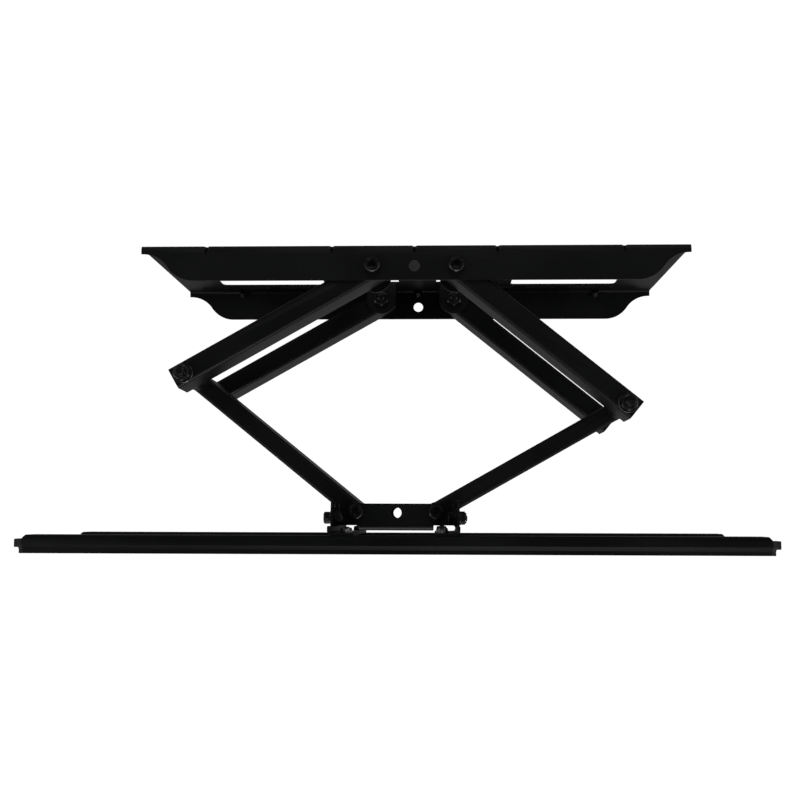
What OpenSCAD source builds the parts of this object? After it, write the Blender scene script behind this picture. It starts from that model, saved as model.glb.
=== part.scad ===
// Dual-arm folding wall mount for a large flat screen: a folded wall plate, four rear arms in
// two tiers, two tall forearms between them, a folded head and a tilting frame of two long rails.
// X runs across, +Y points to the wall, Z is up. The origin is the centre of the plate's back.

/* [Wall plate] */
// Width of the wall plate
plate_w = 460; // [440:2:520]
// Height of the wall plate over its two flanges
plate_h = 200; // [190:2:240]
// Thickness of the folded sheet of the plate and the head
sheet_t = 2; // [1.5:0.25:3]
// Inside radius of every fold
fold_r = 2; // [1.5:0.25:3]
// Depth of the flanges from the wall to their front edge
flange_d = 30; // [28:0.5:40]
// Depth that the flanges keep at their ends
flange_end_d = 7; // [6:0.5:10]
// Length of the curved sweep at each end of a flange
sweep_len = 43; // [36:1:50]
// Half the width of the solid strip between the two windows
strip_half = 18; // [15:0.5:19]
// Solid web left at each outer end of the windows
window_end = 39; // [34:1:60]
// Distance of the windows' inner ends from the middle of the plate
window_in = 90; // [76:1:100]
// Half the height of the windows
window_half_h = 70.5; // [60:0.5:71]
// Corner radius of the windows
window_r = 5; // [2:0.5:8]
// Pitch of the lag slots along a row
lag_pitch = 40.6; // [36:0.2:42]
// End to end length of a lag slot
lag_len = 27; // [20:0.5:30]
// Width of a lag slot
lag_w = 7; // [6:0.5:9]
// Distance of the lag slots from the plate's mid-height
lag_z = 77; // [76:0.5:82]
// Diameter of the hole in the middle of each flange
flange_hole_d = 9.5; // [6:0.5:12]
// Diameter of the stiffening beads across the folds
bead_d = 7; // [5:0.5:9]
// Reach of a stiffening bead along the web and along the flange
bead_leg = 5; // [4:0.5:9]
// Width of the groove that each bead leaves outside the fold
groove_w = 2.6; // [2:0.2:3]

/* [Linkage] */
// Distance between the pivots of every arm
link_len = 182; // [160:1:200]
// Half the spacing of the wall pivots and of the head pivots
pivot_half = 35; // [34:0.5:38]
// Distance of the wall pivots from the wall
pivot_out = 18; // [17.5:0.25:19]
// Angle of the left rear arm from the wall as shown
rear_angle = 29.5; // [27:0.5:40]
// Angle of the left forearm from the wall as shown
fore_angle = 39; // [30:0.5:48]
// Diameter of the pivot bolts
pivot_d = 8; // [7:0.5:8]
// Radial clearance of a pivot bolt in its bore
run_gap = 0.05; // [0.02:0.01:0.1]
// Radial clearance of the last pivot to be closed, at the right forearm's head end
free_gap = 0.4; // [0.2:0.05:0.5]

/* [Arms] */
// Width of a rear arm
arm_w = 18.5; // [17:0.5:19]
// Height of a rear arm
arm_h = 39; // [34:1:40]
// Wall of the rear arm tube
arm_wall = 2; // [1.5:0.25:2.5]
// Corner radius of the rear arm tube
arm_r = 3; // [2.6:0.2:4]
// Length of a rear arm beyond each pivot
arm_over = 9.5; // [9:0.1:10]
// Outer diameter of the sleeves welded into the rear arms
sleeve_d = 14; // [13:0.5:14]
// Width of a forearm
fore_w = 16; // [14:0.5:16]
// Height of a forearm
fore_h = 62; // [50:1:70]
// Wall of the forearm tube
fore_wall = 2.5; // [2:0.25:3]
// Outer diameter of the barrels at the forearm's ends
barrel_d = 16.6; // [16.2:0.1:17]
// Diameter of the drain holes in the forearm
drain_d = 6; // [4:0.5:8]
// Thickness of the bush flanges between moving faces
bush_flange_t = 1.5; // [1:0.1:2]
// Diameter of the bush flanges
bush_flange_d = 17; // [15:0.5:18]
// Outer diameter of the bush sleeves
bush_d = 10.4; // [10:0.1:11]
// Length of a bush sleeve inside its bore
bush_len = 10; // [6:0.5:12]

/* [Head] */
// Half the width of the head over its ears
head_half = 52.8; // [52.5:0.1:58]
// Distance of the head's rear edge behind its pivots
head_back = 7; // [6.5:0.5:8]
// Distance of the head's front wall ahead of its pivots
head_front = 16.5; // [15:0.5:18]
// Distance of the cut-back front corners ahead of the pivots
head_corner = 12; // [10.5:0.5:12]
// Half the width of the head's front wall
head_wall_half = 32.5; // [24:0.5:33]
// Half the height of the tilt bolts above and below mid-height
tilt_z = 46; // [46:0.5:50]
// Distance of the tilt bolts ahead of the head's pivots
tilt_ahead = 5.5; // [5:0.1:6]
// Radius of the ears round the tilt bolts
ear_r = 7.5; // [6.5:0.1:7.5]
// Diameter of the hole in the middle of the head's flanges
head_hole_d = 9.5; // [6:0.5:12]
// Distance of that hole ahead of the head's pivots
head_hole_ahead = 1; // [0:0.5:3]

/* [Screen frame] */
// Thickness of the uprights
upright_t = 2; // [1.5:0.25:2.5]
// Clearance between a head ear and the upright's ear
ear_gap = 0.3; // [0.2:0.1:0.5]
// Clearance between the head's front wall and the uprights
front_gap = 1.5; // [1:0.25:3]
// Width of an upright's face from the outer side of its ear
upright_w = 21.6; // [20:0.2:21.6]
// Height of the uprights
upright_h = 184; // [180:1:190]
// Rear reach of the upright's ears behind the head's pivots
upright_back = 10; // [9.5:0.5:12]
// Furthest lean of the screen's top towards the viewer, in degrees
tilt_out = 5; // [3:0.5:5]
// Furthest lean of the screen's top towards the wall, in degrees
tilt_in = 2; // [1:0.5:2]
// Clearance round the lock bolts in their arc slots
slot_gap = 0.3; // [0.2:0.05:0.5]
// Length of the steel rails
rail_len = 618; // [500:2:700]
// Height of a rail
rail_h = 30; // [28:0.5:32]
// Depth of a rail
rail_d = 15.5; // [15:0.5:18]
// Thickness of the rail sheet
rail_t = 2; // [1.5:0.25:2]
// Distance of the rails' centre lines from mid-height
rail_z = 80; // [76:0.5:84]
// Depth of the flat part of the rail's top before its slope
rail_flat = 8.5; // [7:0.25:9]
// Drop of the ledge at the rail's front
rail_drop = 4.5; // [3:0.25:5]
// Depth of that ledge
rail_ledge = 3.5; // [3:0.25:4]
// Height of the lip below the ledge
rail_lip = 7; // [5:0.5:7.5]
// Radius of the rail's rear folds
rail_r = 3.5; // [3:0.25:4]
// Length of the bevel on the rail's rear end corners
rail_bevel = 7; // [4:0.5:10]
// Distance that the end caps stand out of the rails
cap_out = 8; // [4:0.5:12]
// Length of the end caps inside the rails
cap_in = 14; // [8:1:20]
// Clearance of the end caps inside the rails
cap_gap = 0.15; // [0.1:0.05:0.3]

/* [Fasteners] */
// Diameter of a socket head
socket_head_d = 13; // [12:0.5:13]
// Height of a socket head
socket_head_h = 8; // [6:0.5:8]
// Width across the flats of the pivot nuts and hex heads
nut_af = 13; // [12:0.5:13]
// Height of a lock nut
nut_h = 8; // [6:0.5:8]
// Height of a hex head
hex_head_h = 5.3; // [4.5:0.1:5.5]
// Length of thread that shows past a lock nut
thread_out = 2.5; // [1:0.5:3]
// Length of thread that shows past the elbow nuts
elbow_thread_out = 5; // [2:0.5:6]
// Thickness of a steel washer
washer_t = 1.5; // [1:0.1:1.6]
// Diameter of a steel washer
washer_d = 17; // [15:0.5:18]
// Diameter of the rail bolts and the tilt bolts
small_d = 6; // [5:0.5:6]
// Width across the flats of their nuts
small_af = 10; // [9:0.5:10]
// Height of their nuts
small_nut_h = 4.5; // [4:0.25:5.5]
// Length of thread that shows past their nuts
small_thread_out = 0.8; // [0.5:0.1:3]
// Diameter of a tilt bolt's socket head
small_head_d = 10; // [9:0.5:10]
// Height of a tilt bolt's head
small_head_h = 5.5; // [5:0.5:6]
// Diameter of a tilt bolt's washer
small_washer_d = 12; // [11:0.5:14]
// Thickness of a tilt bolt's washer
small_washer_t = 1.2; // [1:0.1:1.6]
// Distance of the rail bolts from the head's middle
rail_bolt_x = 40; // [38:0.5:43]
// Clearance round a bolt in a plain hole
hole_gap = 0.2; // [0.1:0.05:0.3]

/* [Hidden] */
$fn = 64;
eps = 0.01;
fit_in = 0.25;
hex_ratio = 2 / sqrt(3);
fold_out = fold_r + sheet_t;
pivot_r = pivot_d / 2;
bore_r = pivot_r + run_gap;

// Heights of the stack at a wall pivot, from the flange inwards
arm_top = plate_h / 2 - sheet_t - bush_flange_t;
arm_bottom = arm_top - arm_h;
lug_top = arm_bottom - bush_flange_t;
lug_bottom = lug_top - sheet_t;

// Places of the elbows and of the head in plan
left_elbow = [-pivot_half - link_len * cos(rear_angle), -pivot_out - link_len * sin(rear_angle)];
right_elbow = [pivot_half + link_len * cos(fore_angle), -pivot_out - link_len * sin(fore_angle)];
head_x = link_len * (cos(fore_angle) - cos(rear_angle));
head_y = -pivot_out - link_len * (sin(rear_angle) + sin(fore_angle));

// Wall plate
lug_r = 14;
lag_first = 79.4;
sweep_drop = flange_d - flange_end_d;
sweep_r = (sweep_len * sweep_len + sweep_drop * sweep_drop) / (4 * sweep_drop);
sweep_start = plate_w / 2 - 1;
window_out = plate_w / 2 - window_end;
neck_end = pivot_half + lug_r + 5;
bead_places = [-175.5, -69.5, 0, 69.5, 175.5];

// Elbows and forearms
barrel_half = arm_bottom - bush_flange_t;
fore_half = fore_h / 2;
bush_r = bush_d / 2;
bush_hole_r = bush_r + run_gap;

// Head
head_half_h = fore_half + bush_flange_t + sheet_t;
ear_in = head_half - sheet_t;
fold_x = head_half - fold_out;

// Screen frame, measured from the head's pivots
upright_rear = -head_front - front_gap;
rail_rear = upright_rear - upright_t;
upright_in = head_half + ear_gap;
upright_out = upright_in + upright_t;
tilt_seat = upright_out + ear_gap + small_washer_t;
tilt_y = -tilt_ahead;
slot_radius = 2 * tilt_z;
small_r = small_d / 2;
slot_r = small_r + slot_gap;
upright_fold = upright_t + fold_r;

// Plane shapes

module rounded_rect(w, h, r) {
    square([w - 2 * r, h], center = true);
    square([w, h - 2 * r], center = true);
    for (x = [-1, 1], y = [-1, 1])
        translate([x * (w / 2 - r), y * (h / 2 - r)])
            circle(r);
}

module slot_shape(len, w) {
    square([len - w, w], center = true);
    for (x = [-1, 1])
        translate([x * (len - w) / 2, 0])
            circle(w / 2);
}

module hex_shape(af) {
    circle(d = af * hex_ratio, $fn = 6);
}

// Points on an arc from angle a0 to angle a1
function arc(c, r, a0, a1, n) =
    [for (i = [0 : n]) let (a = a0 + (a1 - a0) * i / n) [c[0] + r * cos(a), c[1] + r * sin(a)]];

function turned(path) = [for (i = [len(path) - 1 : -1 : 0]) path[i]];

// Right end of a flange: a land, a hollow sweep, then a full one that runs into the front edge
function flange_end() =
    let (steps = 12,
         turn = asin(sweep_len / 2 / sweep_r),
         front = [sweep_start - sweep_len, -flange_d + sweep_r])
    concat(
        [[plate_w / 2, -fold_out], [plate_w / 2, -flange_end_d]],
        arc([sweep_start, -flange_end_d - sweep_r], sweep_r, 90, 90 + turn, steps),
        arc(front, sweep_r, -90 + turn * (1 - 1 / steps), -90, steps - 1));

module flange_shape() {
    left_end = [for (p = flange_end()) [-p[0], p[1]]];
    polygon(concat(flange_end(), turned(left_end)));
}

// Folds and sheets

// A quarter tube along Z whose square outer corner would lie at the origin
module fold_piece(len, thick) {
    r_out = fold_r + thick;
    linear_extrude(len, center = true)
        translate([-r_out, -r_out])
            intersection() {
                difference() {
                    circle(r_out);
                    circle(fold_r);
                }
                square(r_out);
            }
}

// The same fold laid along X, its corner towards +Y and +Z
module fold_along_x(len, thick) {
    rotate([90, 0, 90])
        fold_piece(len, thick);
}

// A shape given in Y and Z, drawn as a plate that starts at x = 0
module plate_yz(thick) {
    rotate([90, 0, 90])
        linear_extrude(thick)
            children();
}

module through_y(reach) {
    rotate([90, 0, 0])
        linear_extrude(reach, center = true)
            children();
}

module quarters() {
    for (mx = [0, 1], mz = [0, 1])
        mirror([mx, 0, 0])
            mirror([0, 0, mz])
                children();
}

module sides() {
    for (mx = [0, 1])
        mirror([mx, 0, 0])
            children();
}

module tiers() {
    for (mz = [0, 1])
        mirror([0, 0, mz])
            children();
}

// Wall plate

module window_cuts() {
    outer_w = window_out - window_in;
    neck_w = neck_end - strip_half;
    sides() {
        translate([window_in + outer_w / 2, 0, 0])
            through_y(4 * sheet_t)
                rounded_rect(outer_w, 2 * window_half_h, window_r);
        translate([strip_half + neck_w / 2, 0, 0])
            through_y(4 * sheet_t)
                square([neck_w, 2 * (lug_bottom + fold_out)], center = true);
    }
}

// A lug lanced out of the web beside the centre strip and folded forward
module lug() {
    translate([pivot_half, 0, lug_bottom])
        linear_extrude(sheet_t)
            difference() {
                union() {
                    translate([-lug_r, -pivot_out])
                        square([2 * lug_r, pivot_out - fold_out]);
                    translate([0, -pivot_out])
                        circle(lug_r);
                }
                translate([0, -pivot_out])
                    circle(pivot_r + hole_gap);
            }
    translate([pivot_half, 0, lug_bottom])
        mirror([0, 0, 1])
            fold_along_x(2 * lug_r, sheet_t);
}

module lag_slots() {
    quarters()
        for (n = [0 : 3])
            translate([lag_first + n * lag_pitch, 0, lag_z])
                through_y(4 * sheet_t)
                    slot_shape(lag_len, lag_w);
}

// Places on a bead's axis, which crosses the upper fold at 45 degrees: Z runs along it, Y outwards
module at_bead(x) {
    translate([x, -sheet_t - bead_leg / 2, plate_h / 2 - sheet_t - bead_leg / 2])
        rotate([45, 0, 0])
            children();
}

// A bead stops where its end would otherwise come out of the back of the sheet
module bead(x) {
    short = bead_d / 2 - (sheet_t - fit_in) * sqrt(2);
    at_bead(x)
        cylinder(d = bead_d, h = bead_leg * sqrt(2) - 2 * short, center = true);
}

// The groove's round bottom stays inside the bead, so that it doesn't open into the flange
module bead_groove(x) {
    len = 4 * (bead_leg + sheet_t);
    at_bead(x)
        translate([0, bead_d / 2, 0]) {
            cylinder(d = groove_w, h = len, center = true);
            translate([-groove_w / 2, 0, -len / 2])
                cube([groove_w, len, len]);
        }
}

module wall_plate() {
    color([0.13, 0.13, 0.14])
        difference() {
            union() {
                difference() {
                    translate([-plate_w / 2, -sheet_t, -plate_h / 2 + fold_out])
                        cube([plate_w, sheet_t, plate_h - 2 * fold_out]);
                    window_cuts();
                    lag_slots();
                }
                tiers() {
                    translate([0, 0, plate_h / 2])
                        fold_along_x(plate_w, sheet_t);
                    translate([0, 0, plate_h / 2 - sheet_t])
                        linear_extrude(sheet_t)
                            flange_shape();
                    for (x = bead_places)
                        bead(x);
                }
                quarters()
                    lug();
            }
            tiers()
                for (x = bead_places)
                    bead_groove(x);
            translate([0, -pivot_out, 0])
                cylinder(d = flange_hole_d, h = plate_h + 2, center = true);
            for (x = [-pivot_half, pivot_half])
                translate([x, -pivot_out, 0])
                    cylinder(r = pivot_r + hole_gap, h = plate_h + 2, center = true);
        }
}

// Fasteners, drawn along Z from the seat of the head or nut

module socket_bolt(d, head_d, head_h, len) {
    difference() {
        cylinder(d = head_d, h = head_h);
        translate([0, 0, 0.4 * head_h])
            linear_extrude(head_h)
                hex_shape(0.48 * head_d);
    }
    translate([0, 0, -len])
        cylinder(d = d, h = len + eps);
}

module hex_bolt(len) {
    linear_extrude(hex_head_h)
        hex_shape(nut_af);
    translate([0, 0, -len])
        cylinder(r = pivot_r, h = len + eps);
}

module hex_nut(af, h, hole_r) {
    difference() {
        linear_extrude(h)
            hex_shape(af);
        translate([0, 0, -1])
            cylinder(r = hole_r, h = h + 2);
    }
}

// A lock nut with a round collar over its hexagon
module lock_nut(af, h, hole_r) {
    collar = 0.2 * h;
    difference() {
        union() {
            linear_extrude(h - collar)
                hex_shape(af);
            cylinder(d = af - 1, h = h);
        }
        translate([0, 0, -1])
            cylinder(r = hole_r, h = h + 2);
    }
}

module washer(d, h, hole_r) {
    difference() {
        cylinder(d = d, h = h);
        translate([0, 0, -1])
            cylinder(r = hole_r, h = h + 2);
    }
}

// A bush whose flange lies on z = 0 and whose sleeve reaches down into the bore
module bush(hole_r) {
    difference() {
        union() {
            cylinder(d = bush_flange_d, h = bush_flange_t);
            translate([0, 0, -bush_len])
                cylinder(r = bush_r, h = bush_len + eps);
        }
        translate([0, 0, -bush_len - 1])
            cylinder(r = hole_r, h = bush_len + bush_flange_t + 2);
    }
}

module shoulder_places() {
    quarters()
        translate([pivot_half, -pivot_out, 0])
            children();
}

module shoulder_bolts() {
    color([0.2, 0.2, 0.21])
        shoulder_places()
            translate([0, 0, plate_h / 2])
                socket_bolt(pivot_d, socket_head_d, socket_head_h,
                    plate_h / 2 - lug_bottom + nut_h + thread_out);
}

module shoulder_nuts() {
    color([0.2, 0.2, 0.21])
        shoulder_places()
            translate([0, 0, lug_bottom])
                mirror([0, 0, 1])
                    lock_nut(nut_af, nut_h, bore_r);
}

// Rear arms, drawn along X from the wall pivot

module rear_arm() {
    len = link_len + 2 * arm_over;
    mid_z = (arm_top + arm_bottom) / 2;
    color([0.11, 0.11, 0.12])
        difference() {
            union() {
                translate([-arm_over, 0, mid_z])
                    plate_yz(len)
                        difference() {
                            rounded_rect(arm_w, arm_h, arm_r);
                            rounded_rect(arm_w - 2 * arm_wall, arm_h - 2 * arm_wall, arm_r - arm_wall);
                        }
                for (x = [0, link_len])
                    translate([x, 0, arm_bottom])
                        cylinder(d = sleeve_d, h = arm_h);
            }
            for (x = [0, link_len])
                translate([x, 0, arm_bottom - 1])
                    cylinder(r = bore_r, h = arm_h + 2);
            for (z = [arm_bottom - 1, arm_top - bush_len])
                translate([0, 0, z])
                    cylinder(r = bush_hole_r, h = bush_len + 1);
        }
}

module rear_bushes() {
    color([0.16, 0.16, 0.17])
        tiers() {
            translate([0, 0, arm_top])
                bush(bore_r);
            translate([0, 0, arm_bottom])
                mirror([0, 0, 1])
                    bush(bore_r);
        }
}

module on_left_rear() {
    translate([-pivot_half, -pivot_out, 0])
        rotate([0, 0, 180 + rear_angle])
            children();
}

module on_right_rear() {
    translate([pivot_half, -pivot_out, 0])
        rotate([0, 0, -fore_angle])
            children();
}

module left_upper_rear_arm() {
    on_left_rear()
        rear_arm();
}

module left_lower_rear_arm() {
    on_left_rear()
        mirror([0, 0, 1])
            rear_arm();
}

module right_upper_rear_arm() {
    on_right_rear()
        rear_arm();
}

module right_lower_rear_arm() {
    on_right_rear()
        mirror([0, 0, 1])
            rear_arm();
}

module left_rear_bushes() {
    on_left_rear()
        rear_bushes();
}

module right_rear_bushes() {
    on_right_rear()
        rear_bushes();
}

// Elbows

module elbow_bolt() {
    seat = arm_top + washer_t;
    color([0.2, 0.2, 0.21])
        translate([0, 0, -seat])
            mirror([0, 0, 1])
                hex_bolt(2 * seat + nut_h + elbow_thread_out);
}

module elbow_nut() {
    color([0.2, 0.2, 0.21])
        translate([0, 0, arm_top + washer_t])
            lock_nut(nut_af, nut_h, bore_r);
}

module elbow_washers() {
    color([0.2, 0.2, 0.21])
        tiers()
            translate([0, 0, arm_top])
                washer(washer_d, washer_t, bore_r);
}

module left_elbow_bolt() {
    translate(left_elbow)
        elbow_bolt();
}

module left_elbow_nut() {
    translate(left_elbow)
        elbow_nut();
}

module left_elbow_washers() {
    translate(left_elbow)
        elbow_washers();
}

module right_elbow_bolt() {
    translate(right_elbow)
        elbow_bolt();
}

module right_elbow_nut() {
    translate(right_elbow)
        elbow_nut();
}

module right_elbow_washers() {
    translate(right_elbow)
        elbow_washers();
}

// Forearms, drawn along X from the elbow

module forearm(head_bore_r) {
    hollow = link_len - barrel_d + fore_wall;
    color([0.11, 0.11, 0.12])
        difference() {
            union() {
                difference() {
                    plate_yz(link_len)
                        rounded_rect(fore_w, fore_h, fore_wall);
                    translate([(link_len - hollow) / 2, 0, 0])
                        plate_yz(hollow)
                            square([fore_w - 2 * fore_wall, fore_h - 2 * fore_wall], center = true);
                }
                cylinder(d = barrel_d, h = 2 * barrel_half, center = true);
                translate([link_len, 0, 0])
                    cylinder(d = barrel_d, h = fore_h, center = true);
            }
            cylinder(r = bore_r, h = 2 * barrel_half + 2, center = true);
            translate([link_len, 0, 0])
                cylinder(r = head_bore_r, h = fore_h + 2, center = true);
            tiers() {
                translate([0, 0, barrel_half - bush_len])
                    cylinder(r = bush_hole_r, h = bush_len + 1);
                translate([link_len, 0, fore_half - bush_len])
                    cylinder(r = bush_hole_r, h = bush_len + 1);
            }
            for (x = [barrel_d, link_len - barrel_d])
                translate([x, 0, -fore_half - 1])
                    cylinder(d = drain_d, h = fore_wall + 2);
        }
}

module forearm_bushes(head_bore_r) {
    color([0.16, 0.16, 0.17])
        tiers() {
            translate([0, 0, barrel_half])
                bush(bore_r);
            translate([link_len, 0, fore_half])
                bush(head_bore_r);
        }
}

module on_left_fore() {
    translate(left_elbow)
        rotate([0, 0, -fore_angle])
            children();
}

module on_right_fore() {
    translate(right_elbow)
        rotate([0, 0, 180 + rear_angle])
            children();
}

module left_forearm() {
    on_left_fore()
        forearm(bore_r);
}

module left_forearm_bushes() {
    on_left_fore()
        forearm_bushes(bore_r);
}

module right_forearm() {
    on_right_fore()
        forearm(pivot_r + free_gap);
}

module right_forearm_bushes() {
    on_right_fore()
        forearm_bushes(pivot_r + free_gap);
}

// Head, drawn round the middle of its two pivots

module at_head() {
    translate([head_x, head_y, 0])
        children();
}

module head_flange_shape() {
    translate([-fold_x, -head_corner])
        square([2 * fold_x, head_corner + head_back]);
    translate([-head_wall_half, -head_front + fold_out])
        square([2 * head_wall_half, head_front]);
}

// Ear in Y and Z: a foot on the fold that narrows to a round eye at the tilt bolt
module head_ear_shape(foot_z) {
    polygon([
        [-head_corner, foot_z],
        [head_back, foot_z],
        [tilt_y + ear_r, tilt_z],
        [tilt_y - ear_r, tilt_z]
    ]);
    translate([tilt_y, tilt_z])
        circle(ear_r);
}

module head_ear() {
    fold_bottom = head_half_h - sheet_t;
    len = head_corner + head_back;
    translate([head_half, (head_back - head_corner) / 2, fold_bottom])
        rotate([-90, 0, 0])
            fold_piece(len, sheet_t);
    translate([ear_in, 0, 0])
        plate_yz(sheet_t)
            difference() {
                head_ear_shape(fold_bottom + fold_out);
                translate([tilt_y, tilt_z])
                    circle(small_r + hole_gap);
            }
}

module head_bracket() {
    wall_h = 2 * (head_half_h - fold_out);
    color([0.13, 0.13, 0.14])
        at_head()
            difference() {
                union() {
                    translate([-head_wall_half, -head_front, -wall_h / 2])
                        cube([2 * head_wall_half, sheet_t, wall_h]);
                    tiers() {
                        translate([0, -head_front, head_half_h])
                            mirror([0, 1, 0])
                                fold_along_x(2 * head_wall_half, sheet_t);
                        translate([0, 0, head_half_h - sheet_t])
                            linear_extrude(sheet_t)
                                head_flange_shape();
                    }
                    quarters()
                        head_ear();
                }
                translate([0, -head_hole_ahead, 0])
                    cylinder(d = head_hole_d, h = 2 * head_half_h + 2, center = true);
                for (x = [-pivot_half, pivot_half])
                    translate([x, 0, 0])
                        cylinder(r = pivot_r + hole_gap, h = 2 * head_half_h + 2, center = true);
            }
}

module head_pivot_bolts() {
    color([0.2, 0.2, 0.21])
        at_head()
            sides()
                translate([pivot_half, 0, head_half_h])
                    socket_bolt(pivot_d, socket_head_d, socket_head_h,
                        2 * head_half_h + nut_h + thread_out);
}

module head_pivot_nuts() {
    color([0.2, 0.2, 0.21])
        at_head()
            sides()
                translate([pivot_half, 0, -head_half_h])
                    mirror([0, 0, 1])
                        lock_nut(nut_af, nut_h, bore_r);
}

// Places on the tilt bolts' axes at two distances from the middle, with Z turned to +X.
// All four bolts are put in from the left, so the left pair has its heads outside.
module tilt_places(left, right) {
    at_head()
        tiers()
            for (x = [-left, right])
                translate([x, tilt_y, tilt_z])
                    rotate([0, 90, 0])
                        children();
}

module tilt_bolts() {
    left_grip = tilt_seat - ear_in + small_nut_h + small_thread_out;
    color([0.2, 0.2, 0.21])
        tilt_places(tilt_seat, ear_in)
            mirror([0, 0, 1])
                socket_bolt(small_d, small_head_d, small_head_h, left_grip);
}

module tilt_nuts() {
    color([0.2, 0.2, 0.21])
        tilt_places(ear_in, tilt_seat)
            lock_nut(small_af, small_nut_h, small_r + run_gap);
}

module tilt_washers() {
    color([0.2, 0.2, 0.21])
        tilt_places(tilt_seat, tilt_seat - small_washer_t)
            washer(small_washer_d, small_washer_t, small_r + run_gap);
}

// Screen frame

// The arc, in Y and Z about the hinge, that a lock bolt runs through
module arc_slot_shape() {
    far = 2 * slot_radius;
    translate([tilt_y, -tilt_z]) {
        intersection() {
            difference() {
                circle(slot_radius + slot_r, $fn = 180);
                circle(slot_radius - slot_r, $fn = 180);
            }
            polygon([
                [0, 0],
                [-far * sin(tilt_in), far * cos(tilt_in)],
                [far * sin(tilt_out), far * cos(tilt_out)]
            ]);
        }
        for (turn = [-tilt_in, tilt_out])
            translate([slot_radius * sin(turn), slot_radius * cos(turn)])
                circle(slot_r);
    }
}

module upright_ear_shape() {
    low = tilt_z - ear_r - 1;
    high = tilt_z + 2 * ear_r - 1;
    front = rail_rear + upright_fold;
    translate([front, low])
        square([upright_back - ear_r - front, high - low]);
    translate([front, low + ear_r])
        square([upright_back - front, high - low - 2 * ear_r]);
    for (z = [low + ear_r, high - ear_r])
        translate([upright_back - ear_r, z])
            circle(ear_r);
}

module upright_ear() {
    low = tilt_z - ear_r - 1;
    high = tilt_z + 2 * ear_r - 1;
    translate([upright_out, rail_rear, (low + high) / 2])
        mirror([0, 1, 0])
            fold_piece(high - low, upright_t);
    translate([upright_in, 0, 0])
        plate_yz(upright_t)
            upright_ear_shape();
}

module upright() {
    color([0.13, 0.13, 0.14])
        at_head()
            difference() {
                union() {
                    translate([upright_out - upright_w, rail_rear, -upright_h / 2])
                        cube([upright_w - upright_fold, upright_t, upright_h]);
                    tiers()
                        upright_ear();
                }
                translate([upright_in - 1, 0, 0])
                    plate_yz(upright_t + 2)
                        arc_slot_shape();
                translate([upright_in - 1, tilt_y, -tilt_z])
                    rotate([0, 90, 0])
                        cylinder(r = small_r + run_gap, h = upright_t + 2);
                for (z = [-rail_z, rail_z])
                    translate([rail_bolt_x, rail_rear, z])
                        through_y(4 * upright_t)
                            circle(small_r + hole_gap);
            }
}

module right_upright() {
    upright();
}

module left_upright() {
    translate([2 * head_x, 0, 0])
        mirror([1, 0, 0])
            upright();
}

// Upper half of the rail's outline, moved in by a depth: depth runs forward, height runs up
function rail_path(in) =
    let (top = rail_h / 2,
         slope = atan(rail_drop / (rail_d - rail_ledge - rail_flat)),
         back = in * tan(slope / 2))
    concat(
        arc([rail_r, top - rail_r], rail_r - in, 180, 90, 6),
        [[rail_flat - back, top - in],
         [rail_d - rail_ledge - back, top - rail_drop - in],
         [rail_d - in, top - rail_drop - in],
         [rail_d - in, top - rail_drop - rail_lip]]);

function flipped(path) = [for (p = path) [p[0], -p[1]]];

// Both halves, from the lower front edge round the back to the upper one
function rail_outline(in) = concat(turned(flipped(rail_path(in))), rail_path(in));

module rail_shape() {
    polygon(concat(rail_outline(0), turned(rail_outline(rail_t))));
}

// A shape given in depth and height, drawn along X from x = 0 and behind it to the front
module along_rail(len) {
    mirror([0, 1, 0])
        rotate([90, 0, 90])
            linear_extrude(len)
                children();
}

module rail() {
    color([0.15, 0.15, 0.16])
        translate([head_x, head_y + rail_rear, 0])
            difference() {
                translate([-rail_len / 2, 0, 0])
                    along_rail(rail_len)
                        rail_shape();
                sides()
                    translate([rail_len / 2, 0, 0])
                        linear_extrude(rail_h + 2, center = true)
                            polygon([[-rail_bevel, eps], [eps, eps], [eps, -rail_bevel / 2]]);
                for (x = [-rail_bolt_x, rail_bolt_x])
                    translate([x, 0, 0])
                        through_y(4 * rail_t)
                            circle(small_r + hole_gap);
            }
}

module upper_rail() {
    translate([0, 0, rail_z])
        rail();
}

module lower_rail() {
    translate([0, 0, -rail_z])
        rail();
}

// A moulded plug with a flange over the rail's end and a block that stands out of it
module rail_cap() {
    inset = rail_t + cap_gap;
    flange_t = 0.4 * cap_out;
    translate([rail_len / 2 - cap_in, 0, 0])
        along_rail(cap_in + eps)
            intersection() {
                polygon(rail_outline(inset));
                translate([rail_bevel / 2 + cap_gap, -rail_h / 2])
                    square([rail_d, rail_h]);
            }
    translate([rail_len / 2, 0, 0])
        along_rail(flange_t)
            intersection() {
                polygon(rail_outline(0));
                translate([rail_bevel / 2, -rail_h / 2])
                    square([rail_d, rail_h]);
            }
    translate([rail_len / 2, 0, 0])
        along_rail(cap_out)
            translate([rail_r + rail_ledge, 0])
                rounded_rect(2 * rail_ledge, 0.6 * rail_h, 1.5);
}

module rail_caps() {
    color([0.08, 0.09, 0.09])
        translate([head_x, head_y + rail_rear, 0])
            sides()
                rail_cap();
}

module upper_rail_caps() {
    translate([0, 0, rail_z])
        rail_caps();
}

module lower_rail_caps() {
    translate([0, 0, -rail_z])
        rail_caps();
}

module rail_bolt_places(y) {
    at_head()
        quarters()
            translate([rail_bolt_x, y, rail_z])
                rotate([90, 0, 0])
                    children();
}

module rail_bolts() {
    seat = rail_rear - rail_t;
    tip = upright_rear + small_nut_h + small_thread_out;
    head_r = 0.85 * small_d;
    color([0.2, 0.2, 0.21])
        rail_bolt_places(seat) {
            cylinder(r = head_r, h = 0.5 * small_d);
            translate([0, 0, seat - tip])
                cylinder(r = small_r, h = tip - seat + eps);
        }
}

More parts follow.
